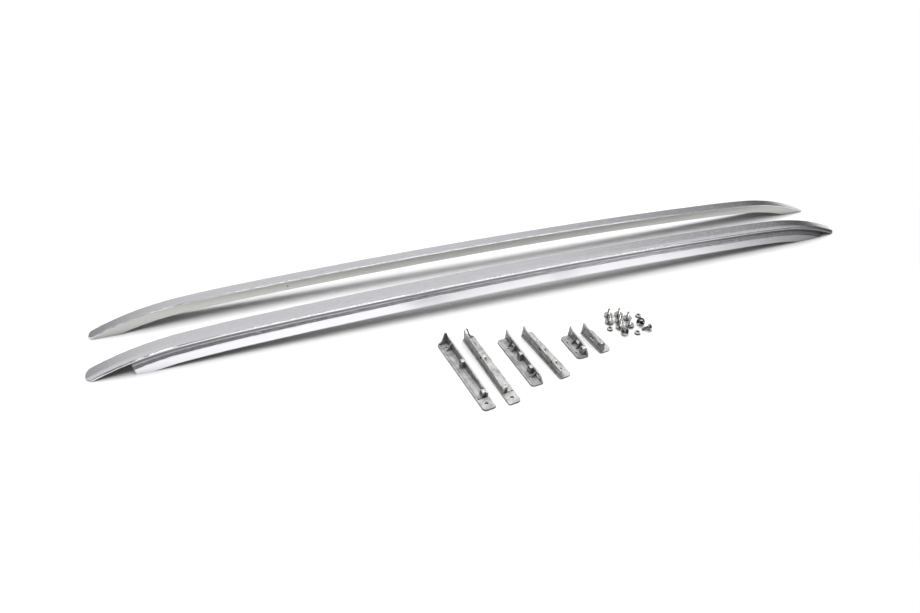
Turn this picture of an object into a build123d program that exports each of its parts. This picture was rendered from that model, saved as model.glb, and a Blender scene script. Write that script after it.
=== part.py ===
from build123d import *
from math import asin, atan2, cos, degrees, pi, sin
import os

# A pair of roof side rails for a car, laid out with their six mounting feet and loose screws.
# Millimetres. X runs along the rails, Z is up, and the layout rests on the floor at z = 0.
# A rail's heights are measured down from its inner top edge, and its widths outwards from there.

# Rail, side view
rail_reach_rear = 950.0  # crown to the rounded rear tip
rail_reach_front = 950.0  # crown to the sharper front tip
crown_height = 74.9
tip_height = 4.0
crown_radius = 14970.0
shoulder_radius_rear = 2910.0
shoulder_run_rear = 124.0
toe_radius_rear = 640.0
shoulder_radius_front = 2910.0
shoulder_run_front = 106.0
toe_radius_front = 640.0

# Rail, cross-section
top_width = 37.5
crease_from_inner_edge = 28.3
crease_drop = 0.9
outer_edge_drop = 4.9
outer_edge_height = 4.2
outer_edge_lean = 0.7
top_skin = 4.0
wall_setback = 1.5
wall_skin = 3.0
inner_wall_height = 24.9
inner_bead_height = 2.6
groove_floor_from_inner_edge = 31.5
groove_skin = 3.0
groove_top_drop = 11.6
groove_height = 6.5
lip_crest_from_inner_edge = 40.0
lip_crest_drop = 24.0
lip_foot_from_inner_edge = 43.0
lip_foot_drop = 43.0
lip_skin = 3.0
lip_lap = 1.0
inner_edge_round = 1.6
outer_edge_round = 2.2
crest_round = 1.5

# Rail, plan view
tongue_width = 38.1
rear_inner_corner_radius = 15.0
rear_outer_corner_radius = 21.0
front_inner_corner_radius = 3.0
front_outer_corner_radius = 24.0
lip_end_from_rear_tip = 92.0
lip_end_from_front_tip = 36.0
lip_rear_corner_radius = 12.0
lip_front_corner_radius = 30.0
trim_margin = 0.5
largest_corner_share = 0.98
wall_hole_radius = 1.9
wall_hole_drop = 14.8
wall_hole_from_crown_rear = 519.0
wall_hole_from_crown_front = 243.0

# Layout of the pair
crown_at = -146.9
rail_spacing = 95.0
rail_shift = -5.6
rail_turn = -0.4

# Feet, shared cross-section
foot_width = 27.0
foot_wall = 3.5
foot_flange = 2.6
foot_flange_height = 2.4
flange_corner = 1.5
tray_thickness = 3.0
rim_height = 4.6
rim_thickness = 2.2
dish_radius = 9.0
root_radius = 2.5
horn_tip_width = 2.0
horn_rise_at = 3.5
horn_run = 9.0
boss_wall = 2.8
boss_depth = 7.0
wall_hole_d = 7.0
wall_hole_cover = 2.0  # wall left above a round screw hole
rib_thickness = 2.4
rib_reach = 9.0
rib_below_wall_top = 3.0
dish_run = 4.0
rim_clearance = 0.4
wall_corner = 6.0
drill_length = 40.0

# Long feet
long_length = 216.0
long_wall_rear = 25.0
long_wall_front = 16.0
long_horn_height = 32.0
long_corner = 4.0
long_tab_length = 30.0
long_tab_thickness = 4.2
long_tab_corner = 8.0
long_step_width = 3.0
long_step_floor = 1.2
long_first_boss = 84.0
long_boss_spacing = 93.0
long_roof_hole_rear = 17.0
long_roof_hole_front = 14.5
long_roof_hole_side = 13.0
long_roof_hole_d = 7.5
long_plate_reach = 19.0
plate_shoulder_run = 9.0
plate_shoulder_rise = 6.0
plate_shoulder_round = 12.0
long_rib_at = 27.0
long_rib_reach = 13.0

# Medium feet
medium_length = 156.0
medium_wall_rear = 24.0
medium_wall_front = 18.0
medium_horn_height = 28.5
medium_corner = 9.0
medium_first_boss = 73.0
medium_boss_spacing = 43.0
medium_horn_hole_at = 9.0
medium_rear_slot_at = 37.0
medium_front_slot_inset = 16.0
medium_slot_length = 14.0
medium_slot_d = 6.0
medium_roof_hole_rear = 35.0
medium_roof_hole_front = 25.0
medium_roof_hole_side = 10.0
medium_roof_hole_d = 6.5

# Small feet
small_length = 77.0
small_wall_rear = 26.0
small_wall_front = 21.0
small_horn_height = 31.0
small_corner = 10.0
small_horn_hole_at = 11.0
small_slot_at = 38.0
small_slot_length = 15.0
small_slot_d = 9.0
small_boss_inset = 13.0
small_roof_hole_rear = 22.0
small_roof_hole_front = 20.0
small_roof_hole_side = 7.0
small_roof_hole_d = 4.5

# Flange screws and nuts
thread_d = 6.0
thread_length = 16.0
thread_depth = 0.5
flange_d = 20.0
flange_height = 1.6
hex_width = 10.0
hex_height = 5.2
nut_flange_d = 14.0
nut_flange_height = 1.4
nut_height = 6.0

# Where each loose foot lies: rear left corner beside the front rail's inner edge, and heading
long_left_place = (-392.4, -148.1, -82.9)
long_right_place = (-334.2, -147.2, -84.4)
medium_left_place = (-265.7, -175.0, -84.1)
medium_right_place = (-206.8, -172.9, -82.1)
small_left_place = (-129.2, -208.1, -85.2)
small_right_place = (-77.2, -206.0, -83.0)

# Screws standing on their heads, screws lying with the shaft's heading, and loose nuts
standing_places = [(12, -172), (35, -178), (2, -194), (25, -198), (48, -196), (16, -218), (40, -219)]
lying_places = [(66, -222, 75), (14, -240, 25), (74, -243, 165)]
nut_places = [(78, -194), (-8, -216), (44, -247)]


def run(radius, start, end):
    """Length along X of an arc between two slopes, in radians."""
    return radius * (sin(end) - sin(start))


def fall(radius, start, end):
    """Drop along Z of an arc between two slopes, in radians."""
    return radius * (cos(start) - cos(end))


def half_arcs(reach, shoulder_radius, shoulder_run, toe_radius):
    """Crown, shoulder and toe arcs of one half, with the crown's share found for the drop."""
    drop = crown_height - tip_height
    halvings = 60
    low = 0.0
    high = reach / crown_radius
    for _ in range(halvings):
        crown_end = (low + high) / 2
        shoulder_end = crown_end + shoulder_run / shoulder_radius
        left_over = reach - run(crown_radius, 0, crown_end)
        left_over -= run(shoulder_radius, crown_end, shoulder_end)
        toe_sine = sin(shoulder_end) + left_over / toe_radius
        toe_end = asin(toe_sine) if toe_sine < 1 else pi / 2
        total = fall(crown_radius, 0, crown_end) + fall(shoulder_radius, crown_end, shoulder_end)
        total += fall(toe_radius, shoulder_end, toe_end)
        if total > drop or toe_sine >= 1:
            low = crown_end
        else:
            high = crown_end
    return [
        (crown_radius, 0, crown_end),
        (shoulder_radius, crown_end, shoulder_end),
        (toe_radius, shoulder_end, toe_end),
    ]


rear_half = half_arcs(rail_reach_rear, shoulder_radius_rear, shoulder_run_rear, toe_radius_rear)
front_half = half_arcs(rail_reach_front, shoulder_radius_front, shoulder_run_front, toe_radius_front)


def edge_height(x):
    """Height of the rail's inner top edge at a distance from the crown."""
    arcs = front_half if x > 0 else rear_half
    to_go = abs(x)
    height = crown_height
    for radius, start, end in arcs:
        if to_go <= run(radius, start, end):
            return height - fall(radius, start, asin(sin(start) + to_go / radius))
        to_go -= run(radius, start, end)
        height -= fall(radius, start, end)
    return height


def across_rail(corners):
    """A closed outline across the rail from corners with their roundings, as a face."""
    across = Plane((0, 0, 0), x_dir=(0, -1, 0), z_dir=(-1, 0, 0))
    outline = FilletPolyline(
        [point for point, _ in corners],
        radius=[radius for _, radius in corners],
        close=True,
    )
    return across * make_face(outline)


ceiling_drop = top_skin + crease_drop


def top_section():
    """The top skin with its outer edge, the groove's roof and the inner wall."""
    root = groove_floor_from_inner_edge - groove_skin / 2
    edge_foot = top_width - outer_edge_lean
    edge_foot_drop = outer_edge_drop + outer_edge_height
    roof_slope = (groove_top_drop - edge_foot_drop) / (edge_foot - groove_floor_from_inner_edge)
    return across_rail([
        ((0, 0), inner_edge_round),
        ((crease_from_inner_edge, -crease_drop), 0),
        ((top_width, -outer_edge_drop), outer_edge_round),
        ((edge_foot, -edge_foot_drop), 0),
        ((root, -edge_foot_drop - roof_slope * (edge_foot - root)), 0),
        ((root, -ceiling_drop), 0),
        ((wall_setback + wall_skin, -ceiling_drop), 0),
        ((wall_setback + wall_skin, -inner_wall_height), 0),
        ((wall_setback, -inner_wall_height), 0),
        ((wall_setback, -inner_bead_height - wall_setback), 0),
        ((0, -inner_bead_height), 0),
    ])


def lip_section():
    """The groove's floor and the lip below it, lapping into the top skin."""
    groove_bottom = groove_top_drop + groove_height
    groove_back = groove_floor_from_inner_edge - groove_skin
    lap_drop = ceiling_drop - lip_lap
    return across_rail([
        ((groove_back, -lap_drop), 0),
        ((groove_floor_from_inner_edge, -lap_drop), 0),
        ((groove_floor_from_inner_edge, -groove_bottom), 0),
        ((lip_crest_from_inner_edge, -lip_crest_drop), crest_round),
        ((lip_foot_from_inner_edge, -lip_foot_drop), 0),
        ((lip_foot_from_inner_edge - lip_skin, -lip_foot_drop), 0),
        ((lip_crest_from_inner_edge - lip_skin, -lip_crest_drop - lip_skin / 2), 0),
        ((groove_back, -groove_bottom - lip_skin / 2), 0),
    ])


def fitted(radius, room):
    """A rounding that is no larger than the room left for it."""
    return min(radius, largest_corner_share * room)


def tongue_plan():
    """The top skin seen from above, with rounded tongues at both ends."""
    across = tongue_width + trim_margin
    tongue = FilletPolyline(
        (-rail_reach_rear, trim_margin),
        (rail_reach_front, trim_margin),
        (rail_reach_front, -tongue_width),
        (-rail_reach_rear, -tongue_width),
        radius=[
            fitted(rear_inner_corner_radius, across - rear_outer_corner_radius),
            fitted(front_inner_corner_radius, across - front_outer_corner_radius),
            front_outer_corner_radius,
            rear_outer_corner_radius,
        ],
        close=True,
    )
    return make_face(tongue)


def lip_plan():
    """The lip seen from above, stopping short of both tips."""
    left = -rail_reach_rear + lip_end_from_rear_tip
    right = rail_reach_front - lip_end_from_front_tip
    outside = -lip_foot_from_inner_edge - trim_margin
    lip = FilletPolyline(
        (left, 0),
        (right, 0),
        (right, outside),
        (left, outside),
        radius=[0, 0, lip_front_corner_radius, lip_rear_corner_radius],
        close=True,
    )
    return make_face(lip)


def bent(section):
    """A section carried along the five tangent arcs, a little past both tips."""
    overrun = asin(2 * tip_height / min(toe_radius_rear, toe_radius_front))
    rear_toe = rear_half[2]
    front_toe = front_half[2]
    arcs = [
        (rear_toe[0], -rear_toe[2] - overrun, -rear_toe[1]),
        (rear_half[1][0], -rear_half[1][2], -rear_half[1][1]),
        (crown_radius, -rear_half[0][2], front_half[0][2]),
        front_half[1],
        (front_toe[0], front_toe[1], front_toe[2] + overrun),
    ]
    x = run(crown_radius, 0, arcs[2][1])
    z = crown_height - fall(crown_radius, 0, arcs[2][1])
    for radius, start, end in arcs[:2]:
        x -= run(radius, start, end)
        z += fall(radius, start, end)
    runs = []
    for radius, start, end in arcs:
        bend = revolve(section, Axis((0, 0, -radius), (0, 1, 0)), degrees(end - start))
        runs.append(Pos(x, 0, z) * Rot(0, degrees(start), 0) * bend)
        x += run(radius, start, end)
        z -= fall(radius, start, end)
    return Part() + runs


def rail():
    """One rail: a top with a tongue at each end over a shorter lip, both trimmed by the floor."""
    body = bent(top_section()) & extrude(tongue_plan(), amount=2 * crown_height)
    body += bent(lip_section()) & extrude(lip_plan(), amount=2 * crown_height)
    for x in (-wall_hole_from_crown_rear, wall_hole_from_crown_front):
        drill = Rot(90, 0, 0) * Cylinder(wall_hole_radius, 2 * (wall_setback + wall_skin))
        body -= Pos(x, 0, edge_height(x) - wall_hole_drop) * drill
    return body


def blank(length, wall_rear, wall_front, horn_height, wall_end, side_radius, plan):
    """A foot's casting before its bosses: cross-section, side view and plan view in common."""
    wall_in = foot_width - foot_flange - foot_wall
    wall_out = foot_width - foot_flange
    across = FilletPolyline(
        (0, 0),
        (0, rim_height),
        (rim_thickness, rim_height),
        (rim_thickness + dish_run, tray_thickness),
        (wall_in, tray_thickness),
        (wall_in, horn_height),
        (wall_out, horn_height),
        (wall_out, foot_flange_height),
        (foot_width, foot_flange_height),
        (foot_width, 0),
        radius=[0, 0, 0, dish_radius, root_radius, 0, 0, 0, 0, 0],
        close=True,
    )
    side = FilletPolyline(
        (0, 0),
        (0, rim_height + root_radius),
        (horn_rise_at - horn_tip_width / 2, horn_height),
        (horn_rise_at + horn_tip_width / 2, horn_height),
        (horn_rise_at + horn_run, wall_rear),
        (wall_end, wall_front),
        (length, rim_height + rim_clearance),
        (length, 0),
        radius=[0, 0, 0, 0, wall_corner, side_radius, 0, 0],
        close=True,
    )
    casting = extrude(Plane.YZ * make_face(across), amount=length)
    casting &= Pos(0, foot_width, 0) * extrude(Plane.XZ * make_face(side), amount=foot_width)
    return casting & extrude(plan, amount=horn_height)


def boss(at, height, reach=boss_depth, radius=wall_hole_d / 2 + boss_wall):
    """An arched pad on the inside of the wall, standing on the tray, for a screw through it."""
    wall_in = foot_width - foot_flange - foot_wall
    arch = Pos(0, height) * Circle(radius) + Pos(0, height / 2) * Rectangle(2 * radius, height)
    pad = extrude(Plane.XZ * arch, amount=reach + foot_wall / 2)
    return Pos(at, wall_in + foot_wall / 2, 0) * pad


def wall_hole(at, height, diameter=wall_hole_d):
    """A round screw hole through wall and boss."""
    return Pos(at, foot_width, height) * Rot(90, 0, 0) * Cylinder(diameter / 2, drill_length)


def wall_slot(at, height, length, diameter):
    """A slot through the wall, long way along the foot."""
    face = Plane.XZ * SlotOverall(length, diameter)
    depth = foot_flange + foot_wall + trim_margin
    return Pos(at, foot_width, height) * extrude(face, amount=depth)


def rib(at, height, reach=rib_reach):
    """A triangular web between the tray and the inside of the wall."""
    wall_in = foot_width - foot_flange - foot_wall
    web = Polyline(
        (wall_in + foot_wall / 2, tray_thickness / 2),
        (wall_in + foot_wall / 2, height),
        (wall_in, height),
        (wall_in - reach, tray_thickness),
        (wall_in - reach, tray_thickness / 2),
        close=True,
    )
    return Pos(at - rib_thickness / 2, 0, 0) * extrude(Plane.YZ * make_face(web), amount=rib_thickness)


def roof_hole(at, side, diameter):
    """A roof bolt hole straight down through the tray."""
    return Pos(at, side, 0) * Cylinder(diameter / 2, drill_length)


def wall_height(at, wall_rear, wall_front, wall_end):
    """Height of the wall's top edge between the horn and the wall's front end."""
    start = horn_rise_at + horn_run
    return wall_rear + (wall_front - wall_rear) * (at - start) / (wall_end - start)


def slot_height(top):
    """Half way between the tray's floor and the wall's top edge."""
    return (tray_thickness + top) / 2


def boss_height(top):
    """A screw hole's height, with its cover left under the wall's top edge."""
    return top - wall_hole_cover - wall_hole_d / 2


def rounded_plan(length, rear_corner, front_corner):
    """Seen from above: round corners on the rim side, small ones on the wall side."""
    outline = FilletPolyline(
        (0, -trim_margin),
        (length, -trim_margin),
        (length, foot_width + trim_margin),
        (0, foot_width + trim_margin),
        radius=[rear_corner, front_corner, front_corner / 2, flange_corner],
        close=True,
    )
    return make_face(outline)


def long_foot():
    """Long foot: high plate and hook at the rear, two bosses, and a bolt tab in front."""
    wall_end = long_length - long_tab_length
    plan = rounded_plan(long_length, long_corner, long_tab_corner)
    body = blank(
        long_length, long_wall_rear, long_wall_front, long_horn_height, wall_end, 0, plan
    )
    tab = Pos(wall_end, 0, 0) * Box(
        long_tab_length, foot_width, 2 * long_horn_height, align=(Align.MIN, Align.MIN, Align.MIN)
    )
    body -= tab
    tongue = extrude(plan, amount=long_tab_thickness) & tab
    body += tongue
    plate = FilletPolyline(
        (0, 0),
        (0, rim_height),
        (long_plate_reach - plate_shoulder_run, rim_height + plate_shoulder_rise),
        (long_plate_reach - horn_tip_width, long_horn_height),
        (long_plate_reach, long_horn_height),
        (foot_width - foot_flange, long_wall_rear),
        (foot_width - foot_flange, 0),
        radius=[0, 0, plate_shoulder_round, 0, 0, 0, 0],
        close=True,
    )
    body += extrude(Plane.YZ * make_face(plate), amount=foot_wall) & extrude(plan, amount=long_horn_height)
    bosses = [long_first_boss, long_first_boss + long_boss_spacing]
    for at in bosses:
        top = wall_height(at, long_wall_rear, long_wall_front, wall_end)
        body += boss(at, boss_height(top))
    body += rib(long_rib_at, long_wall_rear - rib_below_wall_top, reach=long_rib_reach)
    groove = Box(
        long_step_width,
        foot_width - foot_flange - foot_wall - rim_thickness,
        2 * rim_height,
        align=(Align.MAX, Align.MIN, Align.MIN),
    )
    body -= Pos(wall_end, rim_thickness, long_step_floor) * groove
    for at in bosses:
        top = wall_height(at, long_wall_rear, long_wall_front, wall_end)
        body -= wall_hole(at, boss_height(top))
    for at in (long_roof_hole_rear, long_length - long_roof_hole_front):
        body -= roof_hole(at, long_roof_hole_side, long_roof_hole_d)
    return body


def medium_foot():
    """Medium foot: a horn at the rear, and two bosses between two slots."""
    plan = rounded_plan(medium_length, medium_corner, medium_corner)
    wall_end = medium_length - medium_corner
    sizes = (medium_wall_rear, medium_wall_front, wall_end)
    body = blank(
        medium_length, medium_wall_rear, medium_wall_front, medium_horn_height, wall_end, wall_corner, plan
    )
    bosses = [medium_first_boss, medium_first_boss + medium_boss_spacing]
    roof_holes = [medium_roof_hole_rear, medium_length - medium_roof_hole_front]
    slots = [medium_rear_slot_at, medium_length - medium_front_slot_inset]
    for at in bosses:
        body += boss(at, boss_height(wall_height(at, *sizes)))
    for at in slots:
        for way in (-1, 1):
            web_at = at + way * (medium_slot_length + rib_thickness) / 2
            if web_at < wall_end - rib_thickness:
                body += rib(web_at, wall_height(web_at, *sizes) - rib_below_wall_top)
    for at in bosses:
        body -= wall_hole(at, boss_height(wall_height(at, *sizes)))
    for at in roof_holes:
        body -= roof_hole(at, medium_roof_hole_side, medium_roof_hole_d)
    for at in slots:
        slot_at = slot_height(wall_height(at, *sizes))
        body -= wall_slot(at, slot_at, medium_slot_length, medium_slot_d)
    body -= wall_hole(medium_horn_hole_at, slot_height(medium_horn_height), thread_d)
    return body


def small_foot():
    """Small foot: a large slot in the middle, a hole under the horn and one boss in front."""
    plan = rounded_plan(small_length, small_corner, small_corner)
    wall_end = small_length - small_corner
    sizes = (small_wall_rear, small_wall_front, wall_end)
    body = blank(
        small_length, small_wall_rear, small_wall_front, small_horn_height, wall_end, wall_corner, plan
    )
    boss_at = small_length - small_boss_inset
    screw_height = boss_height(wall_height(boss_at, *sizes))
    body += boss(boss_at, screw_height)
    for way in (-1, 1):
        web_at = small_slot_at + way * (small_slot_length + rib_thickness) / 2
        body += rib(web_at, wall_height(web_at, *sizes) - rib_below_wall_top)
    body -= wall_hole(boss_at, screw_height)
    slot_at = slot_height(wall_height(small_slot_at, *sizes))
    body -= wall_slot(small_slot_at, slot_at, small_slot_length, small_slot_d)
    body -= wall_hole(small_horn_hole_at, slot_height(small_horn_height), thread_d)
    for at in (small_roof_hole_rear, small_length - small_roof_hole_front):
        body -= roof_hole(at, small_roof_hole_side, small_roof_hole_d)
    return body


def mirrored_foot(body):
    """The foot of the other hand, lying in the same strip of floor."""
    return Pos(0, foot_width, 0) * mirror(body, about=Plane.XZ)


def laid(body, place):
    """Turns a foot to its heading and puts its rear left corner in place."""
    x, y, heading = place
    return Pos(x, y, 0) * Rot(0, 0, heading) * body


def disc(radius, height):
    """A round disc or shaft standing on the floor."""
    return Cylinder(radius, height, align=(Align.CENTER, Align.CENTER, Align.MIN))


def hexagon(height):
    """A hexagon prism standing on the floor."""
    return extrude(RegularPolygon(hex_width / 2, 6, major_radius=False), amount=height)


def screw():
    """A hexagon screw with a round flange, standing on its head."""
    shoulder = hex_height + flange_height
    body = hexagon(hex_height) + Pos(0, 0, hex_height) * disc(flange_d / 2, flange_height)
    return body + Pos(0, 0, shoulder) * disc(thread_d / 2, thread_length)


def nut():
    """A hexagon nut with a round flange, lying on the flange."""
    body = disc(nut_flange_d / 2, nut_flange_height) + hexagon(nut_height)
    return body - disc(thread_d / 2 - thread_depth, nut_height)


def lying_screw(x, y, heading):
    """A screw on its side, touching the floor with the flange's rim and the thread's tip."""
    shoulder = hex_height + flange_height
    tip_radius = thread_d / 2
    tilt = degrees(atan2(flange_d / 2 - tip_radius, thread_length))
    turned = Rot(0, 90 + tilt, 0) * Pos(0, 0, -shoulder) * screw()
    lowest = turned.bounding_box().min.Z
    return Pos(x, y, -lowest) * Rot(0, 0, heading) * turned


# Rails
near_rail = Pos(crown_at, 0, 0) * rail()
far_rail = Pos(rail_shift, rail_spacing, 0) * Rot(0, 0, rail_turn) * mirror(near_rail, about=Plane.XZ)
pieces = {"rail_near": near_rail, "rail_far": far_rail}

# Feet, each size in both hands
for name, body, left_place, right_place in (
    ("long", long_foot(), long_left_place, long_right_place),
    ("medium", medium_foot(), medium_left_place, medium_right_place),
    ("small", small_foot(), small_left_place, small_right_place),
):
    pieces["foot_" + name + "_left"] = laid(body, left_place)
    pieces["foot_" + name + "_right"] = laid(mirrored_foot(body), right_place)

# Loose screws and nuts
upright_screw = screw()
loose_nut = nut()
for number, (x, y) in enumerate(standing_places, start=1):
    pieces["screw_" + str(number)] = Pos(x, y, 0) * upright_screw
for number, place in enumerate(lying_places, start=len(standing_places) + 1):
    pieces["screw_" + str(number)] = lying_screw(*place)
for number, (x, y) in enumerate(nut_places, start=1):
    pieces["nut_" + str(number)] = Pos(x, y, 0) * loose_nut

# The origin is on the floor, under the middle of the whole layout
boxes = [piece.bounding_box() for piece in pieces.values()]
middle_x = (min(box.min.X for box in boxes) + max(box.max.X for box in boxes)) / 2
middle_y = (min(box.min.Y for box in boxes) + max(box.max.Y for box in boxes)) / 2
to_origin = Pos(-middle_x, -middle_y, 0)

os.makedirs("parts", exist_ok=True)
for node, piece in pieces.items():
    export_step(to_origin * piece, "parts/" + node + ".step")
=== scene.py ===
"""Roof side rails, their mounting feet and loose flange screws on a pale studio floor."""

from math import atan, cos, pi, radians, sin, tau

import bmesh
import bpy
from bpy.props import FloatProperty, FloatVectorProperty, IntProperty, PointerProperty
from mathutils import Matrix, Vector


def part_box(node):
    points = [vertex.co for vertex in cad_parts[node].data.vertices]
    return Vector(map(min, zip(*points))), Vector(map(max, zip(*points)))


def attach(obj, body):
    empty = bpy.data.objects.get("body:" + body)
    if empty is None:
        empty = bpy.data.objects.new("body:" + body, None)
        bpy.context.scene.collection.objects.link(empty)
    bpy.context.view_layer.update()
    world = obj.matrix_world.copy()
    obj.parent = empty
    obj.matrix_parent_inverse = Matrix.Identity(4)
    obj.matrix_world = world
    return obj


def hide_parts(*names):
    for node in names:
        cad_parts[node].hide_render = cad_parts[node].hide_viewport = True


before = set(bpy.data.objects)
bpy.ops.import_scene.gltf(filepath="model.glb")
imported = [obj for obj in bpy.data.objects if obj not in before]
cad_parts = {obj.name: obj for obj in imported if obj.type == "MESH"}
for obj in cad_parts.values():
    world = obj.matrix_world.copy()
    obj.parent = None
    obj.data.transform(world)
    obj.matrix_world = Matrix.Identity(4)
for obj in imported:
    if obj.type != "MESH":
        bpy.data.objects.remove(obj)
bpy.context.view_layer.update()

bl_info = {
    "name": "Roof Rail Kit",
    "version": (1, 0, 0),
    "blender": (4, 5, 0),
    "location": "View3D > Sidebar > Roof Rails",
    "description": "Dresses a pair of roof side rails with their feet, screws, floor and lights",
    "category": "Object",
}

MM = 0.001
BLACK = (0, 0, 0)

# Each rail's outward side along Y, its turn on the floor in degrees, and its tone, a factor that paints the
# far rail's skin lighter as painted light
RAILS = {"rail_near": (-1, 0.0, 1.0), "rail_far": (1, -0.4, 1.1)}
FEET = tuple(
    f"foot_{size}_{side}" for size in ("long", "medium", "small") for side in ("left", "right")
)
STANDING = tuple(f"screw_{n}" for n in range(1, 8))
# Loose screws on their sides, each with the heading of its shaft in degrees
LYING = {"screw_8": 75, "screw_9": 25, "screw_10": 165}
NUTS = ("nut_1", "nut_2", "nut_3")

# How far a face turns outwards across the rail, from -1 on the inner wall to 1 on an upright
# outer face. Each finish and each painted shade comes in between its two limits.
INNER_WALL_FACES = (-0.9, -0.6)
SLOPED_FACES = (0.46, 0.52)
UPRIGHT_FACES = (0.89, 0.97)
# A width beyond any rail, and the soft borders between the finishes and the painted shade
BEYOND_RAIL = 1.0
WALL_BORDER = 0.4 * MM
GROOVE_BORDER = 0.2 * MM
CREST_BORDER = 0.3 * MM
LIP_BORDER = 1 * MM
# Repeats in a metre along the rail, across it and upwards
GRAIN_REPEATS_ALONG = 6.0
CLOUD_REPEATS = (5.0, 25.0, 25.0)
CLOUD_DETAIL = 2.0
CLOUD_TONES = (0.985, 1.015)
# How much smoother and rougher than the skin the drawn lines are
GRAIN_SMOOTHER = 0.04
GRAIN_ROUGHER = 0.05
# Strength and depth of each relief
GRAIN_RELIEF = (0.05, 0.02 * MM)
PIT_RELIEF = (0.35, 0.15 * MM)
CRYSTAL_RELIEF = (0.15, 0.05 * MM)

# The casting: repeats of each pattern in a metre, and the limits between which it acts
FLOW_MARKS = 70.0
PITS = 900.0
FLOW_DETAIL = 5.0
FLOW_HARSHNESS = 0.6
STAIN_LEVELS = (0.38, 0.6)
# Upright to level normals, over which the painted shade on steep faces fades out
STEEP_SHADE_LEVELS = (0.35, 0.7)
FOOT_ROUGHNESS = (0.38, 0.24)
# Reach of the painted shade in corners, and the tone left in the deepest
FOOT_CREVICE_SHADE = (8 * MM, 0.45)
ZINC_CREVICE_SHADE = (14 * MM, 0.03)
CREVICE_SHADE_LEVELS = (0.25, 0.85)

# The zinc plating: repeats in a metre, tones and roughness
CRYSTALS = 600.0
TARNISH = 110.0
TARNISH_TONES = (0.75, 1.1)
ZINC_ROUGHNESS = (0.08, 0.16)
ZINC_EDGE = 0.2 * MM

BEVEL_SAMPLES = 6
CREVICE_SAMPLES = 8
FLOOR_SHADE_SAMPLES = 12

# Turned end of the hexagon: heights, and the radius there as a share of half its width
HEXAGON_END = ((0.0, 0.94), (0.25 * MM, 1.0), (0.8 * MM, 1.17))
# Straight part of the hexagon under the flange, and the step out to a round collar
HEXAGON_STRAIGHT = 0.4 * MM
COLLAR_STEP = 0.02 * MM
COLLAR_SHARE = 1.16
# How far the flange's rim falls back at its underside, near its top and on its top
RIM_UNDERSIDE = 0.15 * MM
RIM_EDGE = 0.05 * MM
RIM_EDGE_HEIGHT = 0.1 * MM
RIM_TOP = 0.3 * MM
# Plain neck at both ends of the thread, and the turned tip
NECK_LENGTH = 0.8 * MM
NECK_RELIEF = 0.1 * MM
TIP_LENGTH = 0.7 * MM
TIP_CHAMFER = 0.5 * MM
THREAD_DEPTH_SHARE = 0.6
LEVELS_PER_TURN = 8

FLOOR_HALF_WIDTH = 12.0
# Y from the feet to behind the far rail, over which the floor's painted contact shadow changes
SHADE_SPAN = (-0.1, 0.3)
# Shares of the painted shadow's reach and depth along that span
SHADE_REACH_ACROSS = ((0.12, 0.6), (0.2, 1.0), (0.5, 1.0), (0.62, 0.55))
SHADE_DEPTH_ACROSS = ((0.12, 0.6), (0.2, 1.0), (0.5, 1.0), (0.62, 0.65))
SHADE_LEVELS = (0.25, 0.92)
# X and Y of the border of the painted shade on the floor that only metal mirrors, under the rails' front
FRONT_FLOOR_FROM = (0.5, 0.9)
FRONT_FLOOR_BEFORE = (0.08, 0.10)
# Half length and half width of the oval round the object, and where along it white comes in
SHADED_OVAL = (1.15, 0.62)
WHITE_FROM = (0.84, 1.15)
# Brightness of the surround at the sine of each height above the horizon
SKY_BY_HEIGHT = ((0.0, 0.06), (0.15, 0.18), (0.3, 0.40), (0.42, 0.56), (0.52, 0.74), (1.0, 0.85))
# How far a direction points along X where it is lowered, and along Y where it brightens
SKY_LOWERED = (0.38, 1.0)
SKY_BRIGHTENS = (-0.32, 0.06)
# Each lamp's size, its place, the point that it faces, and whether metal sees it
LAMPS = {
    "overhead": ((4.0, 1.1), (-0.05, 0.15, 2.1), (0.0, 0.1, 0.0), False),
    "side": ((0.5, 0.5), (-1.7, -0.5, 1.3), (0.0, 0.0, 0.0), False),
    "strip": ((2.8, 0.4), (0.3, -1.2, 1.55), (0.0, 0.1, 0.0), True),
}
SENSOR_WIDTH = 36.0
NEAREST_SEEN = 0.01
FARTHEST_SEEN = 100.0


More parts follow.
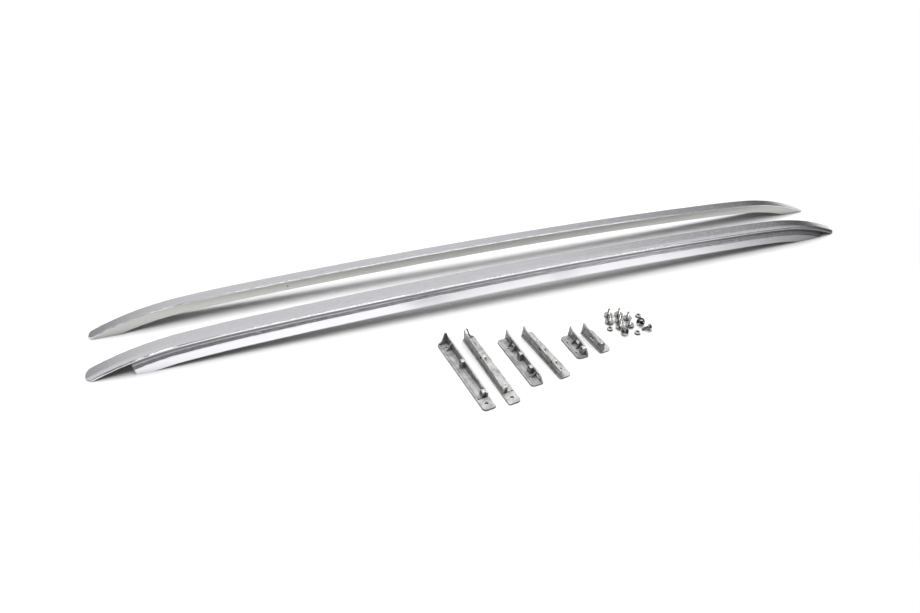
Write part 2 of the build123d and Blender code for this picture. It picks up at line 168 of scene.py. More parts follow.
class RailFinish(bpy.types.PropertyGroup):
    """Satin anodised aluminium of the two rails."""

    colour: FloatVectorProperty(
        name="Colour",
        description="Base colour of the anodised skin",
        subtype="COLOR",
        size=3,
        min=0,
        max=1,
        default=(0.77, 0.77, 0.80),
    )
    roughness: FloatProperty(
        name="Roughness", description="How satin the skin is", default=0.24, min=0, max=1, subtype="FACTOR"
    )
    lip_dullness: FloatProperty(
        name="Lip dullness",
        description="Roughness the lip has beyond the top's",
        default=0.09,
        min=0,
        max=1,
    )
    # Partly the inner wall's mill finish, and partly painted shade for the darker floor that the wall
    # mirrors
    wall_colour_and_shade: FloatVectorProperty(
        name="Wall",
        description="Colour of the inner wall's mill finish",
        subtype="COLOR",
        size=3,
        min=0,
        max=1,
        default=(0.44, 0.44, 0.425),
    )
    # Painted shade inside the groove under the outer edge
    groove_shade_colour: FloatVectorProperty(
        name="Groove",
        description="Colour inside the groove under the outer edge",
        subtype="COLOR",
        size=3,
        min=0,
        max=1,
        default=(0.17, 0.17, 0.165),
    )
    wall_from: FloatProperty(
        name="Wall from",
        description="Width at which the mill finish starts",
        default=0.9 * MM,
        unit="LENGTH",
    )
    groove_from: FloatProperty(
        name="Groove from", description="Width at which the groove starts", default=28 * MM, unit="LENGTH"
    )
    groove_to: FloatProperty(
        name="Groove to", description="Width at which the groove ends", default=36.95 * MM, unit="LENGTH"
    )
    slope_to: FloatProperty(
        name="Slope to",
        description="Width at which the groove's slope meets the lip",
        default=39.3 * MM,
        unit="LENGTH",
    )
    # The groove's slope takes part of the groove's painted shade
    slope_share: FloatProperty(
        name="Slope share",
        description="How much of the groove's tone its slope takes",
        default=0.45,
        min=0,
        max=1,
    )
    edge_radius: FloatProperty(
        name="Edge radius",
        description="Softened edges of the top skin",
        default=1.0 * MM,
        min=0,
        unit="LENGTH",
    )
    crest_radius: FloatProperty(
        name="Crest radius", description="Softened edges of the lip", default=0.4 * MM, min=0, unit="LENGTH"
    )
    grain_pitch: FloatProperty(
        name="Grain pitch",
        description="Distance between the drawn lines along the rail",
        default=0.45 * MM,
        min=0.05 * MM,
        max=5 * MM,
        subtype="DISTANCE",
        unit="LENGTH",
    )


class FootFinish(bpy.types.PropertyGroup):
    """Bare die casting of the six feet."""

    colour: FloatVectorProperty(
        name="Colour",
        description="Base colour of the casting",
        subtype="COLOR",
        size=3,
        min=0,
        max=1,
        default=(0.64, 0.64, 0.63),
    )
    stain: FloatVectorProperty(
        name="Stain",
        description="Darker flow marks in the casting",
        subtype="COLOR",
        size=3,
        min=0,
        max=1,
        default=(0.37, 0.37, 0.37),
    )
    # Painted shade that darkens the casting's steep faces
    painted_side_shade: FloatProperty(
        name="Side shade", description="Tone of steep faces beside level ones", default=0.34, min=0, max=1
    )
    metal: FloatProperty(
        name="Metal",
        description="How mirror-like the casting is",
        default=0.5,
        min=0,
        max=1,
        subtype="FACTOR",
    )
    edge_radius: FloatProperty(
        name="Edge radius",
        description="Softened edge of the casting",
        default=0.5 * MM,
        min=0,
        max=3 * MM,
        subtype="DISTANCE",
        unit="LENGTH",
    )


class HardwareSizes(bpy.types.PropertyGroup):
    """Sizes of the flange screws, and the plating that they share with the nuts."""

    thread_diameter: FloatProperty(
        name="Thread",
        description="Outer diameter of the thread",
        default=6 * MM,
        min=2 * MM,
        subtype="DISTANCE",
    )
    thread_pitch: FloatProperty(
        name="Pitch",
        description="Distance between thread crests",
        default=1 * MM,
        min=0.2 * MM,
        subtype="DISTANCE",
    )
    thread_length: FloatProperty(
        name="Thread length",
        description="Length above the flange",
        default=16 * MM,
        min=4 * MM,
        subtype="DISTANCE",
    )
    flange_diameter: FloatProperty(
        name="Flange",
        description="Diameter of a screw's flange",
        default=20 * MM,
        min=6 * MM,
        subtype="DISTANCE",
    )
    flange_height: FloatProperty(
        name="Flange height",
        description="Height of the flange",
        default=1.6 * MM,
        min=0.5 * MM,
        subtype="DISTANCE",
    )
    flange_rim: FloatProperty(
        name="Flange rim",
        description="Height of the flange's rim",
        default=0.7 * MM,
        min=0.1 * MM,
        subtype="DISTANCE",
    )
    hexagon_width: FloatProperty(
        name="Across flats",
        description="Width of the hexagon",
        default=10 * MM,
        min=3 * MM,
        subtype="DISTANCE",
    )
    hexagon_height: FloatProperty(
        name="Hexagon height",
        description="Height of the hexagon",
        default=5.2 * MM,
        min=1 * MM,
        subtype="DISTANCE",
    )
    segments: IntProperty(name="Segments", description="Facets round a screw", default=36, min=12, max=72)
    colour: FloatVectorProperty(
        name="Colour",
        description="Base colour of the zinc plating",
        subtype="COLOR",
        size=3,
        min=0,
        max=1,
        default=(0.62, 0.62, 0.605),
    )


class StudioSettings(bpy.types.PropertyGroup):
    """Floor, lights and camera."""

    floor_colour: FloatVectorProperty(
        name="Floor",
        description="Colour of the floor",
        subtype="COLOR",
        size=3,
        min=0,
        max=1,
        default=(0.94, 0.94, 0.94),
    )
    floor_lift: FloatProperty(
        name="Floor lift",
        description="White added to the floor where it is seen directly",
        default=0.03,
        min=0,
    )
    # Reach and depth of the painted shadow on the floor
    shade_reach: FloatProperty(
        name="Shade reach",
        description="How near a piece has to be to shade the floor",
        default=115 * MM,
        unit="LENGTH",
    )
    shade_depth: FloatProperty(
        name="Shade depth", description="How dark the floor is under a piece", default=0.8, min=0, max=1
    )
    # Painted shade on the floor that only metal mirrors, darkening the lip's reflection at the rails' front
    front_mirror_shade: FloatProperty(
        name="Front dimming",
        description="How much the mirrored floor darkens at the rails' front",
        default=0.72,
        min=0,
        max=1,
    )
    overhead_power: FloatProperty(
        name="Overhead", description="Power of the overhead softbox", default=93, min=0, unit="POWER"
    )
    side_power: FloatProperty(
        name="Side power", description="Power of the lamp at the left", default=5, min=0, unit="POWER"
    )
    strip_power: FloatProperty(
        name="Strip",
        description="Power of the strip lamp that draws the bright edges",
        default=28,
        min=0,
        unit="POWER",
    )
    sky_strength: FloatProperty(
        name="Surround", description="Strength of the surrounding light", default=0.08, min=0
    )
    rear_dimming: FloatProperty(
        name="Dark side",
        description="How much of the surround is left behind the camera",
        default=0.12,
        min=0,
        max=1,
    )
    front_fall: FloatProperty(
        name="Front fall",
        description="How much higher the surround stays dark at the rails' front",
        default=0.33,
        min=0,
    )
    focal_length: FloatProperty(
        name="Focal length",
        description="Lens for a 36 mm wide sensor",
        default=25.826,
        min=5,
        subtype="DISTANCE_CAMERA",
    )
    camera_tilt: FloatProperty(
        name="Tilt", description="Camera's tilt below the horizon", default=radians(37.403), subtype="ANGLE"
    )
    camera_turn: FloatProperty(
        name="Turn",
        description="Camera's turn towards the rails' front",
        default=radians(19.8785),
        subtype="ANGLE",
    )
    camera_roll: FloatProperty(
        name="Roll", description="Camera's roll", default=radians(1.10), subtype="ANGLE"
    )
    camera_place: FloatVectorProperty(
        name="Place",
        description="Camera's place from the middle of the layout",
        subtype="XYZ",
        unit="LENGTH",
        size=3,
        default=(-0.5661, -1.0734, 0.9362),
    )


def new_material(name):
    """An empty node material with one Principled shader."""
    material = bpy.data.materials.new(name)
    material.use_nodes = True
    tree = material.node_tree
    tree.nodes.clear()
    output = tree.nodes.new("ShaderNodeOutputMaterial")
    shader = tree.nodes.new("ShaderNodeBsdfPrincipled")
    tree.links.new(shader.outputs["BSDF"], output.inputs["Surface"])
    return material, tree, shader


def feed(tree, socket, value):
    """Links a socket to another one, or sets it to a fixed value."""
    if isinstance(value, bpy.types.NodeSocket):
        tree.links.new(value, socket)
    else:
        socket.default_value = value


def calculate(tree, operation, first, second):
    """One step of arithmetic on two sockets or fixed values."""
    step = tree.nodes.new("ShaderNodeMath")
    step.operation = operation
    feed(tree, step.inputs[0], first)
    feed(tree, step.inputs[1], second)
    return step.outputs["Value"]


def product(tree, value, factor):
    """A value times another one."""
    return calculate(tree, "MULTIPLY", value, factor)


def larger(tree, first, second):
    """The larger of two values."""
    return calculate(tree, "MAXIMUM", first, second)


def opposite(tree, value):
    """One less a value."""
    return calculate(tree, "SUBTRACT", 1.0, value)


def along(tree, vector, direction):
    """How far a vector reaches in a fixed direction."""
    reach = tree.nodes.new("ShaderNodeVectorMath")
    reach.operation = "DOT_PRODUCT"
    tree.links.new(vector, reach.inputs[0])
    reach.inputs[1].default_value = direction
    return reach.outputs["Value"]


def texture_space(tree, scale=(1.0, 1.0, 1.0)):
    """Object coordinates scaled along each axis, in repeats per metre."""
    place = tree.nodes.new("ShaderNodeTexCoord")
    mapping = tree.nodes.new("ShaderNodeMapping")
    mapping.inputs["Scale"].default_value = scale
    tree.links.new(place.outputs["Object"], mapping.inputs["Vector"])
    return mapping.outputs["Vector"]


def noise(tree, vector, scale=1.0, detail=3.0, roughness=0.5):
    """A noise pattern with its factor as output."""
    texture = tree.nodes.new("ShaderNodeTexNoise")
    texture.inputs["Scale"].default_value = scale
    texture.inputs["Detail"].default_value = detail
    texture.inputs["Roughness"].default_value = roughness
    tree.links.new(vector, texture.inputs["Vector"])
    return texture.outputs["Fac"]


def spread(tree, value, low, high, start=0.3, end=0.7):
    """Maps a value's range from start to end onto low to high, and holds it beyond."""
    ranger = tree.nodes.new("ShaderNodeMapRange")
    ranger.inputs["From Min"].default_value = start
    ranger.inputs["From Max"].default_value = end
    ranger.inputs["To Min"].default_value = low
    ranger.inputs["To Max"].default_value = high
    tree.links.new(value, ranger.inputs["Value"])
    return ranger.outputs["Result"]


def between(tree, value, low, high, soft):
    """1 where a value lies between two limits, fading to 0 over a soft border."""
    rise = spread(tree, value, 0, 1, low - soft / 2, low + soft / 2)
    drop = spread(tree, value, 1, 0, high - soft / 2, high + soft / 2)
    return product(tree, rise, drop)


def crevice_shade(tree, reach, darkest):
    """Painted shade: 1 in the open, falling to a darker value in corners and recesses."""
    hollow = tree.nodes.new("ShaderNodeAmbientOcclusion")
    hollow.samples = CREVICE_SAMPLES
    hollow.inputs["Distance"].default_value = reach
    return spread(tree, hollow.outputs["AO"], darkest, 1, *CREVICE_SHADE_LEVELS)


def grey_ramp(tree, value, stops):
    """A grey ramp with a brightness at each stop."""
    ramp = tree.nodes.new("ShaderNodeValToRGB")
    steps = ramp.color_ramp.elements
    while len(steps) < len(stops):
        steps.new(0.5)
    for step, (position, brightness) in zip(steps, stops):
        step.position = position
        step.color = (brightness, brightness, brightness, 1)
    tree.links.new(value, ramp.inputs["Fac"])
    return ramp.outputs["Color"]


def tinted(colour, factor):
    """A colour made lighter or darker by a factor."""
    return tuple(min(1.0, channel * factor) for channel in colour)


def blend(tree, factor, first, second):
    """A mix of two colours, each of them fixed or from a socket."""
    mix = tree.nodes.new("ShaderNodeMix")
    mix.data_type = "RGBA"
    tree.links.new(factor, mix.inputs["Factor"])
    for side, colour in (("A", first), ("B", second)):
        fixed = not isinstance(colour, bpy.types.NodeSocket)
        feed(tree, mix.inputs[side], (*colour, 1) if fixed else colour)
    return mix.outputs["Result"]


def relief(tree, height, strength, distance, edge_radius):
    """Bump from a pattern, over edges softened by a fixed radius or one from a socket."""
    bump = tree.nodes.new("ShaderNodeBump")
    bump.inputs["Strength"].default_value = strength
    bump.inputs["Distance"].default_value = distance
    tree.links.new(height, bump.inputs["Height"])
    bevel = tree.nodes.new("ShaderNodeBevel")
    bevel.samples = BEVEL_SAMPLES
    feed(tree, bevel.inputs["Radius"], edge_radius)
    tree.links.new(bevel.outputs["Normal"], bump.inputs["Normal"])
    return bump.outputs["Normal"]


def groove_shade_mask(tree, finish, width, facing):
    """Painted shade: 1 on the upright faces inside the groove and less on its slopes, 0 outside it."""
    start = finish.groove_from
    end = finish.groove_to
    upright = spread(tree, facing, 0, 1, *UPRIGHT_FACES)
    sloping = spread(tree, facing, 0, finish.slope_share, *SLOPED_FACES)
    inside = between(tree, width, start, end, GROOVE_BORDER)
    lower_slope = between(tree, width, start, end - finish.edge_radius, GROOVE_BORDER)
    outer_slope = between(tree, width, end + finish.edge_radius, finish.slope_to, GROOVE_BORDER)
    groove = larger(tree, product(tree, upright, inside), product(tree, sloping, lower_slope))
    return larger(tree, groove, product(tree, sloping, outer_slope))


def rail_material(node, finish, outward, turn, tone):
    """Satin anodised top and lip, a darker inner wall that is partly mill finish and partly painted shade,
    a groove with painted shade, and a tone that paints one rail lighter.
    """
    material, tree, shader = new_material(node.replace("rail", "rail_aluminium"))
    across = Vector((-sin(turn), cos(turn), 0)) * outward
    inner_edge = min(across.dot(vertex.co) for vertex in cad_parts[node].data.vertices)
    place = tree.nodes.new("ShaderNodeTexCoord")
    width = calculate(tree, "SUBTRACT", along(tree, place.outputs["Object"], across), inner_edge)
    facing = along(tree, place.outputs["Normal"], across)

    inward_face = spread(tree, facing, 1, 0, *INNER_WALL_FACES)
    past_edge = between(tree, width, finish.wall_from, BEYOND_RAIL, WALL_BORDER)
    groove = groove_shade_mask(tree, finish, width, facing)
    clouds = noise(tree, texture_space(tree, CLOUD_REPEATS), detail=CLOUD_DETAIL)
    # Painted light: the tone makes the far rail's skin lighter than the near one's, though both have the
    # same finish
    darker, lighter = (tinted(finish.colour, cloud_tone * tone) for cloud_tone in CLOUD_TONES)
    colour = blend(tree, spread(tree, clouds, 0, 1), darker, lighter)
    # The inner wall's colour: its mill finish with painted shade in it
    colour = blend(tree, product(tree, inward_face, past_edge), colour, finish.wall_colour_and_shade)
    # Painted shade in the groove and on its slopes
    colour = blend(tree, groove, colour, finish.groove_shade_colour)
    tree.links.new(colour, shader.inputs["Base Color"])

    lines_per_metre = 1 / finish.grain_pitch
    grain = noise(tree, texture_space(tree, (GRAIN_REPEATS_ALONG, lines_per_metre, lines_per_metre)))
    smoothest = finish.roughness - GRAIN_SMOOTHER
    roughest = finish.roughness + GRAIN_ROUGHER
    lip_from = finish.slope_to - LIP_BORDER
    lip_to = finish.slope_to + LIP_BORDER
    lip = spread(tree, width, 0, finish.lip_dullness, lip_from, lip_to)
    satin = calculate(tree, "ADD", spread(tree, grain, smoothest, roughest), lip)
    tree.links.new(satin, shader.inputs["Roughness"])

    top_end = finish.groove_to + finish.edge_radius
    softened = spread(
        tree, width, finish.edge_radius, finish.crest_radius, top_end - CREST_BORDER, top_end
    )
    tree.links.new(relief(tree, grain, *GRAIN_RELIEF, softened), shader.inputs["Normal"])
    shader.inputs["Metallic"].default_value = 1.0
    return material


def foot_material(finish):
    """Bare die casting: a matt, lightly pitted skin with darker flow marks, and painted shade on steep
    faces and in corners.
    """
    material, tree, shader = new_material("foot_casting")
    space = texture_space(tree)
    flow = noise(tree, space, FLOW_MARKS, FLOW_DETAIL, FLOW_HARSHNESS)
    pits = noise(tree, space, PITS)
    colour = blend(tree, spread(tree, flow, 1, 0, *STAIN_LEVELS), finish.colour, finish.stain)
    place = tree.nodes.new("ShaderNodeTexCoord")
    split = tree.nodes.new("ShaderNodeSeparateXYZ")
    tree.links.new(place.outputs["Normal"], split.inputs["Vector"])
    # Painted shade: steep faces darker than level ones
    level = spread(tree, split.outputs["Z"], finish.painted_side_shade, 1, *STEEP_SHADE_LEVELS)
    colour = blend(tree, level, BLACK, colour)
    # Painted shade in the casting's corners
    colour = blend(tree, crevice_shade(tree, *FOOT_CREVICE_SHADE), BLACK, colour)
    tree.links.new(colour, shader.inputs["Base Color"])
    tree.links.new(spread(tree, flow, *FOOT_ROUGHNESS), shader.inputs["Roughness"])
    tree.links.new(relief(tree, pits, *PIT_RELIEF, finish.edge_radius), shader.inputs["Normal"])
    shader.inputs["Metallic"].default_value = finish.metal
    return material


def hardware_material(sizes):
    """Bright zinc plating with a fine crystal pattern, some tarnish, and painted shade in its recesses."""
    material, tree, shader = new_material("zinc_steel")
    space = texture_space(tree)
    crystals = noise(tree, space, CRYSTALS)
    tarnish = noise(tree, space, TARNISH)
    darker, lighter = (tinted(sizes.colour, tone) for tone in TARNISH_TONES)
    colour = blend(tree, spread(tree, tarnish, 0, 1), darker, lighter)
    # Painted shade in the screws' recesses
    colour = blend(tree, crevice_shade(tree, *ZINC_CREVICE_SHADE), BLACK, colour)
    tree.links.new(colour, shader.inputs["Base Color"])
    tree.links.new(spread(tree, crystals, *ZINC_ROUGHNESS), shader.inputs["Roughness"])
    tree.links.new(relief(tree, crystals, *CRYSTAL_RELIEF, ZINC_EDGE), shader.inputs["Normal"])
    shader.inputs["Metallic"].default_value = 1.0
    return material


def assign(node, material):
    """Gives a carried-over node one material in all its slots."""
    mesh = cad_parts[node].data
    for index in range(max(1, len(mesh.materials))):
        if index < len(mesh.materials):
            mesh.materials[index] = material
        else:
            mesh.materials.append(material)


def ring_mesh(name, levels, segments):
    """A closed turned mesh: each level is a height and a function of the angle that gives the radius."""
    mesh = bpy.data.meshes.new(name)
    shape = bmesh.new()
    rings = []
    for height, radius in levels:
        ring = []
        for index in range(segments):
            angle = tau * index / segments
            reach = radius(angle)
            ring.append(shape.verts.new((reach * cos(angle), reach * sin(angle), height)))
        rings.append(ring)
    for lower, upper in zip(rings, rings[1:]):
        for index in range(segments):
            following = (index + 1) % segments
            shape.faces.new((lower[index], lower[following], upper[following], upper[index]))
    shape.faces.new(list(reversed(rings[0])))
    shape.faces.new(rings[-1])
    shape.to_mesh(mesh)
    shape.free()
    return mesh


def hexagon_reach(flats):
    """Radius of a hexagon with this width across flats, as a function of the angle."""
    return lambda angle: flats / 2 / cos((angle + pi / 6) % (pi / 3) - pi / 6)


def round_reach(radius):
    """Radius of a circle, as a function of the angle."""
    return lambda angle: radius


def cut_hexagon(flats, limit):
    """Radius of a hexagon whose corners are turned down to a circle."""
    reach = hexagon_reach(flats)
    return lambda angle: min(reach(angle), limit)


def thread_reach(sizes, height, turn_depth):
    """Radius of the thread at a height: a helix of crests and roots."""
    crest = sizes.thread_diameter / 2

    def reach(angle):
        phase = (height / sizes.thread_pitch - angle / tau) % 1.0
        return crest - turn_depth * abs(2 * phase - 1)

    return reach


def screw_levels(sizes):
    """Levels of a flange screw standing on its head, from the hexagon up to the tip."""
    flats = sizes.hexagon_width
    head = sizes.hexagon_height
    shoulder = head + sizes.flange_height
    flange = sizes.flange_diameter / 2
    shaft = sizes.thread_diameter / 2
    depth = THREAD_DEPTH_SHARE * sizes.thread_pitch
    tip = shoulder + sizes.thread_length
    threaded = sizes.thread_length - 2 * NECK_LENGTH
    levels = [(height, cut_hexagon(flats, share * flats / 2)) for height, share in HEXAGON_END]
    levels += [
        (head - HEXAGON_STRAIGHT, hexagon_reach(flats)),
        (head, hexagon_reach(flats)),
        (head + COLLAR_STEP, round_reach(flats / 2 * COLLAR_SHARE)),
        (shoulder - sizes.flange_rim, round_reach(flange - RIM_UNDERSIDE)),
        (shoulder - sizes.flange_rim / 2, round_reach(flange)),
        (shoulder - RIM_EDGE_HEIGHT, round_reach(flange - RIM_EDGE)),
        (shoulder, round_reach(flange - RIM_TOP)),
        (shoulder, round_reach(shaft)),
        (shoulder + NECK_LENGTH, round_reach(shaft - NECK_RELIEF)),
    ]
    steps = int(LEVELS_PER_TURN * threaded / sizes.thread_pitch)
    for step in range(steps + 1):
        height = NECK_LENGTH + threaded * step / steps
        levels.append((shoulder + height, thread_reach(sizes, height, depth)))
    levels.append((tip - TIP_LENGTH, round_reach(shaft - depth)))
    levels.append((tip, round_reach(shaft - depth - TIP_CHAMFER)))
    return levels


def placing_tree(name):
    """Geometry Nodes tree that sets a copy of one object on every point, turned as the point says."""
    tree = bpy.data.node_groups.new(name, "GeometryNodeTree")
    sockets = tree.interface
    sockets.new_socket("Geometry", in_out="INPUT", socket_type="NodeSocketGeometry")
    piece = sockets.new_socket("Piece", in_out="INPUT", socket_type="NodeSocketObject")
    material = sockets.new_socket("Material", in_out="INPUT", socket_type="NodeSocketMaterial")
    sockets.new_socket("Geometry", in_out="OUTPUT", socket_type="NodeSocketGeometry")
    nodes = tree.nodes
    links = tree.links
    start = nodes.new("NodeGroupInput")
    source = nodes.new("GeometryNodeObjectInfo")
    source.transform_space = "ORIGINAL"
    turn = nodes.new("GeometryNodeInputNamedAttribute")
    turn.data_type = "FLOAT_VECTOR"
    turn.inputs["Name"].default_value = "turn"
    to_points = nodes.new("GeometryNodeMeshToPoints")
    on_points = nodes.new("GeometryNodeInstanceOnPoints")
    realize = nodes.new("GeometryNodeRealizeInstances")
    paint = nodes.new("GeometryNodeSetMaterial")
    end = nodes.new("NodeGroupOutput")
    links.new(start.outputs["Geometry"], to_points.inputs["Mesh"])
    links.new(to_points.outputs["Points"], on_points.inputs["Points"])
    links.new(start.outputs["Piece"], source.inputs["Object"])
    links.new(source.outputs["Geometry"], on_points.inputs["Instance"])
    links.new(turn.outputs["Attribute"], on_points.inputs["Rotation"])
    links.new(on_points.outputs["Instances"], realize.inputs["Geometry"])
    links.new(realize.outputs["Geometry"], paint.inputs["Geometry"])
    links.new(start.outputs["Material"], paint.inputs["Material"])
    links.new(paint.outputs["Geometry"], end.inputs["Geometry"])
    return tree, piece.identifier, material.identifier


def add_object(name, data):
    """An object for a mesh, lamp or camera, linked to the scene."""
    added = bpy.data.objects.new(name, data)
    bpy.context.scene.collection.objects.link(added)
    return added


def placed_copies(name, prototype, places, material):
    """One plain mesh object with a copy of the prototype at every place and turn."""
    points = bpy.data.meshes.new(name + "_points")
    points.from_pydata([place for place, _ in places], [], [])
    attribute = points.attributes.new("turn", "FLOAT_VECTOR", "POINT")
    for index, (_, turn) in enumerate(places):
        attribute.data[index].vector = turn
    carrier = add_object(name + "_carrier", points)
    tree, piece_id, material_id = placing_tree(name + "_placing")
    modifier = carrier.modifiers.new("placing", "NODES")
    modifier.node_group = tree
    modifier[piece_id] = prototype
    modifier[material_id] = material
    evaluated = carrier.evaluated_get(bpy.context.evaluated_depsgraph_get())
    mesh = bpy.data.meshes.new_from_object(evaluated)
    carrier.modifiers.remove(modifier)
    bpy.data.objects.remove(carrier)
    bpy.data.objects.remove(prototype)
    mesh.name = name
    for polygon in mesh.polygons:
        polygon.use_smooth = False
    return add_object(name, mesh)


def place_over(node, mesh, turn):
    """Where the mesh's origin goes so that, turned, it stands in the middle of the node's box."""
    rotation = Matrix.Rotation(turn[2], 3, "Z") @ Matrix.Rotation(turn[1], 3, "Y")
    corners = [rotation @ vertex.co for vertex in mesh.vertices]
    low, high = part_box(node)
    place = []
    for axis in range(2):
        middle = (min(c[axis] for c in corners) + max(c[axis] for c in corners)) / 2
        place.append((low[axis] + high[axis]) / 2 - middle)
    place.append(low[2] - min(c[2] for c in corners))
    return tuple(place)


def seen_directly(tree):
    """1 where the camera, a mirror or glass sees the surface itself, 0 for other light."""
    path = tree.nodes.new("ShaderNodeLightPath")
    seen = path.outputs["Is Camera Ray"]
    for ray in ("Is Glossy Ray", "Is Transmission Ray"):
        seen = larger(tree, seen, path.outputs[ray])
    return seen


def floor_painted_shadow(tree, studio):
    """1 on the open floor, with painted shadow darker near a piece, and for metal painted shade also under
    the rails' front.
    """
    place = tree.nodes.new("ShaderNodeTexCoord")
    split = tree.nodes.new("ShaderNodeSeparateXYZ")
    tree.links.new(place.outputs["Object"], split.inputs["Vector"])
    length = split.outputs["X"]
    depth = split.outputs["Y"]
    across = spread(tree, depth, 0, 1, *SHADE_SPAN)
    # Painted shadow: the floor's colour darkens near a piece
    near = tree.nodes.new("ShaderNodeAmbientOcclusion")
    near.samples = FLOOR_SHADE_SAMPLES
    reach = product(tree, grey_ramp(tree, across, SHADE_REACH_ACROSS), studio.shade_reach)
    tree.links.new(reach, near.inputs["Distance"])
    hollow = spread(tree, near.outputs["AO"], studio.shade_depth, 0, *SHADE_LEVELS)
    hollow = product(tree, hollow, grey_ramp(tree, across, SHADE_DEPTH_ACROSS))
    path = tree.nodes.new("ShaderNodeLightPath")
    # Painted shade in the floor's reflection only, under the rails' front
    front = spread(tree, length, 0, studio.front_mirror_shade, *FRONT_FLOOR_FROM)
    front = product(tree, front, spread(tree, depth, 1, 0, *FRONT_FLOOR_BEFORE))
    front = product(tree, front, path.outputs["Is Glossy Ray"])
    return product(tree, opposite(tree, hollow), opposite(tree, front))


def floor_material(studio):
    """White paper with painted shadow near the object, added to the lamps' own shadow, and plain white
    further out.
    """
    material = bpy.data.materials.new("floor_paper")
    material.use_nodes = True
    tree = material.node_tree
    nodes = tree.nodes
    links = tree.links
    nodes.clear()
    output = nodes.new("ShaderNodeOutputMaterial")
    paper = nodes.new("ShaderNodeBsdfDiffuse")
    links.new(blend(tree, floor_painted_shadow(tree, studio), BLACK, studio.floor_colour), paper.inputs["Color"])
    seen = seen_directly(tree)
    lift = nodes.new("ShaderNodeEmission")
    links.new(product(tree, seen, studio.floor_lift), lift.inputs["Strength"])
    lifted = nodes.new("ShaderNodeAddShader")
    links.new(paper.outputs["BSDF"], lifted.inputs[0])
    links.new(lift.outputs["Emission"], lifted.inputs[1])
    half_length, half_width = SHADED_OVAL
    reach = nodes.new("ShaderNodeVectorMath")
    reach.operation = "LENGTH"
    links.new(texture_space(tree, (1 / half_length, 1 / half_width, 1)), reach.inputs[0])
    far = spread(tree, reach.outputs["Value"], 0, 1, *WHITE_FROM)
    white = nodes.new("ShaderNodeEmission")
    mix = nodes.new("ShaderNodeMixShader")
    links.new(product(tree, seen, far), mix.inputs["Fac"])
    links.new(lifted.outputs["Shader"], mix.inputs[1])
    links.new(white.outputs["Emission"], mix.inputs[2])
    links.new(mix.outputs["Shader"], output.inputs["Surface"])
    return material


def make_floor(studio):
    """A large white floor."""
    half = FLOOR_HALF_WIDTH
    mesh = bpy.data.meshes.new("floor")
    corners = [(-half, -half, 0), (half, -half, 0), (half, half, 0), (-half, half, 0)]
    mesh.from_pydata(corners, [], [(0, 1, 2, 3)])
    mesh.materials.append(floor_material(studio))
    add_object("floor", mesh)


def make_surround(studio):
    """White for the camera. Metal sees it darken to the horizon, behind the camera and to the front."""
    world = bpy.data.worlds.new("studio_surround")
    bpy.context.scene.world = world
    world.use_nodes = True
    tree = world.node_tree
    nodes = tree.nodes
    links = tree.links
    nodes.clear()
    output = nodes.new("ShaderNodeOutputWorld")
    direction = nodes.new("ShaderNodeTexCoord")
    split = nodes.new("ShaderNodeSeparateXYZ")
    links.new(direction.outputs["Generated"], split.inputs["Vector"])
    fall = spread(tree, split.outputs["X"], 0, studio.front_fall, *SKY_LOWERED)
    height = calculate(tree, "SUBTRACT", split.outputs["Z"], fall)
    ahead = spread(tree, split.outputs["Y"], studio.rear_dimming, 1, *SKY_BRIGHTENS)
    walls = product(tree, grey_ramp(tree, height, SKY_BY_HEIGHT), ahead)
    room = nodes.new("ShaderNodeBackground")
    links.new(product(tree, walls, studio.sky_strength), room.inputs["Strength"])
    mirrored = nodes.new("ShaderNodeBackground")
    links.new(walls, mirrored.inputs["Strength"])
    white = nodes.new("ShaderNodeBackground")
    for background in (room, mirrored, white):
        background.inputs["Color"].default_value = (1, 1, 1, 1)
    in_metal = nodes.new("ShaderNodeMixShader")
    links.new(seen_directly(tree), in_metal.inputs["Fac"])
    links.new(room.outputs["Background"], in_metal.inputs[1])
    links.new(mirrored.outputs["Background"], in_metal.inputs[2])
    path = nodes.new("ShaderNodeLightPath")
    mix = nodes.new("ShaderNodeMixShader")
    links.new(path.outputs["Is Camera Ray"], mix.inputs["Fac"])
    links.new(in_metal.outputs["Shader"], mix.inputs[1])
    links.new(white.outputs["Background"], mix.inputs[2])
    links.new(mix.outputs["Shader"], output.inputs["Surface"])


def make_softbox(name, power, size, place, aim, in_metal):
    """A rectangular area lamp that faces a point, seen only in metal or not at all in it."""
    lamp = bpy.data.lights.new(name, "AREA")
    lamp.shape = "RECTANGLE"
    lamp.size, lamp.size_y = size
    lamp.energy = power
    holder = add_object(name, lamp)
    holder.location = place
    holder.rotation_euler = (Vector(aim) - Vector(place)).to_track_quat("-Z", "Y").to_euler()
    holder.visible_glossy = in_metal
    holder.visible_diffuse = not in_metal


def make_camera(scene, studio):
    """The camera at the photograph's viewing angle."""
    lens = bpy.data.cameras.new("camera")
    lens.sensor_width = SENSOR_WIDTH
    lens.lens = studio.focal_length
    lens.clip_start = NEAREST_SEEN
    lens.clip_end = FARTHEST_SEEN
    tilt = Matrix.Rotation(pi / 2 - studio.camera_tilt, 4, "X")
    turn = Matrix.Rotation(-studio.camera_turn, 4, "Z")
    roll = Matrix.Rotation(studio.camera_roll, 4, "Z")
    camera = add_object("camera", lens)
    camera.matrix_world = Matrix.Translation(studio.camera_place) @ turn @ tilt @ roll
    scene.camera = camera


class ROOFRAIL_OT_rails(bpy.types.Operator):
    """Gives both rails their satin anodised skin"""

    bl_idname = "roofrail.rails"
    bl_label = "Rails"

    def execute(self, context):
        finish = context.scene.roofrail_finish
        for node, (outward, turn, tone) in RAILS.items():
            assign(node, rail_material(node, finish, outward, radians(turn), tone))
        return {"FINISHED"}


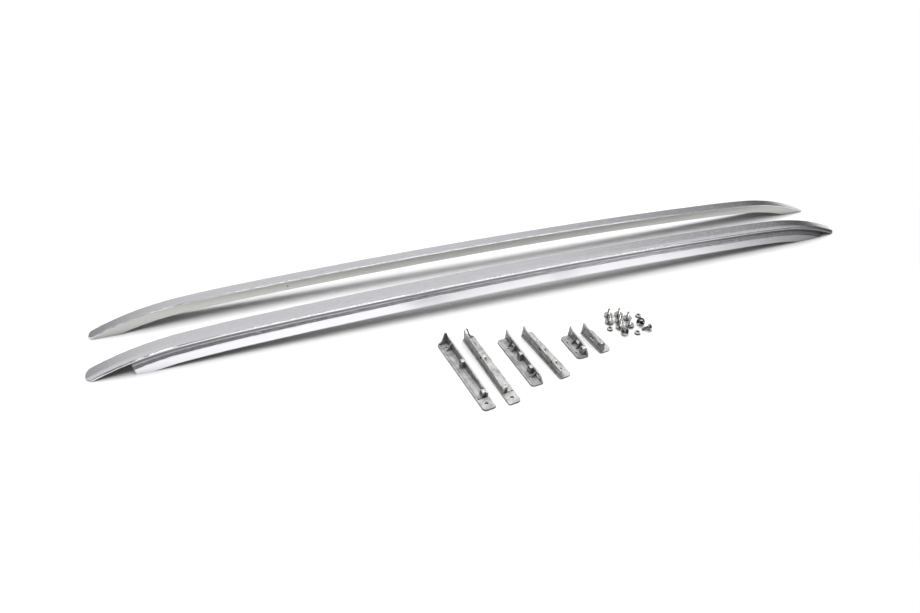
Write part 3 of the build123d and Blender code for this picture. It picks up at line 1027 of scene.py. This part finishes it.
class ROOFRAIL_OT_feet(bpy.types.Operator):
    """Gives the six feet their casting skin"""

    bl_idname = "roofrail.feet"
    bl_label = "Feet"

    def execute(self, context):
        material = foot_material(context.scene.roofrail_feet)
        for node in FEET:
            assign(node, material)
        return {"FINISHED"}


class ROOFRAIL_OT_hardware(bpy.types.Operator):
    """Makes the loose flange screws with their threads, and dresses the nuts"""

    bl_idname = "roofrail.hardware"
    bl_label = "Screws and nuts"

    def execute(self, context):
        sizes = context.scene.roofrail_hardware
        material = hardware_material(sizes)
        mesh = ring_mesh("flange_screw", screw_levels(sizes), sizes.segments)
        # A lying screw rests on its flange's rim and on its tip
        tilt = atan((sizes.flange_diameter - sizes.thread_diameter) / 2 / sizes.thread_length)
        turns = {node: (0, 0, 0) for node in STANDING}
        turns.update({node: (0, pi / 2 + tilt, radians(heading)) for node, heading in LYING.items()})
        places = [(place_over(node, mesh, turn), turn) for node, turn in turns.items()]
        screws = placed_copies("flange_screws", add_object("flange_screw", mesh), places, material)
        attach(screws, "root")
        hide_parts(*STANDING, *LYING)
        for node in NUTS:
            assign(node, material)
        return {"FINISHED"}


class ROOFRAIL_OT_studio(bpy.types.Operator):
    """Makes the floor, the lights and the camera"""

    bl_idname = "roofrail.studio"
    bl_label = "Studio"

    def execute(self, context):
        studio = context.scene.roofrail_studio
        make_floor(studio)
        make_surround(studio)
        for name, (size, place, aim, in_metal) in LAMPS.items():
            make_softbox(name, getattr(studio, name + "_power"), size, place, aim, in_metal)
        make_camera(context.scene, studio)
        return {"FINISHED"}


class ROOFRAIL_PT_panel(bpy.types.Panel):
    """Buttons and sizes of the roof rail kit"""

    bl_idname = "ROOFRAIL_PT_panel"
    bl_label = "Roof Rails"
    bl_space_type = "VIEW_3D"
    bl_region_type = "UI"
    bl_category = "Roof Rails"

    def draw(self, context):
        scene = context.scene
        for settings, operator in SECTIONS:
            box = self.layout.box()
            group = getattr(scene, settings)
            for name in group.__annotations__:
                box.prop(group, name)
            box.operator(operator)


SECTIONS = (
    ("roofrail_finish", "roofrail.rails"),
    ("roofrail_feet", "roofrail.feet"),
    ("roofrail_hardware", "roofrail.hardware"),
    ("roofrail_studio", "roofrail.studio"),
)
CLASSES = (
    RailFinish,
    FootFinish,
    HardwareSizes,
    StudioSettings,
    ROOFRAIL_OT_rails,
    ROOFRAIL_OT_feet,
    ROOFRAIL_OT_hardware,
    ROOFRAIL_OT_studio,
    ROOFRAIL_PT_panel,
)


def register():
    for cls in CLASSES:
        bpy.utils.register_class(cls)
    bpy.types.Scene.roofrail_finish = PointerProperty(type=RailFinish)
    bpy.types.Scene.roofrail_feet = PointerProperty(type=FootFinish)
    bpy.types.Scene.roofrail_hardware = PointerProperty(type=HardwareSizes)
    bpy.types.Scene.roofrail_studio = PointerProperty(type=StudioSettings)


def unregister():
    for settings, _ in SECTIONS:
        delattr(bpy.types.Scene, settings)
    for cls in reversed(CLASSES):
        bpy.utils.unregister_class(cls)


def main():
    register()
    bpy.context.scene.view_settings.view_transform = "Standard"
    bpy.ops.roofrail.rails()
    bpy.ops.roofrail.feet()
    bpy.ops.roofrail.hardware()
    bpy.ops.roofrail.studio()


if __name__ == "__main__":
    main()
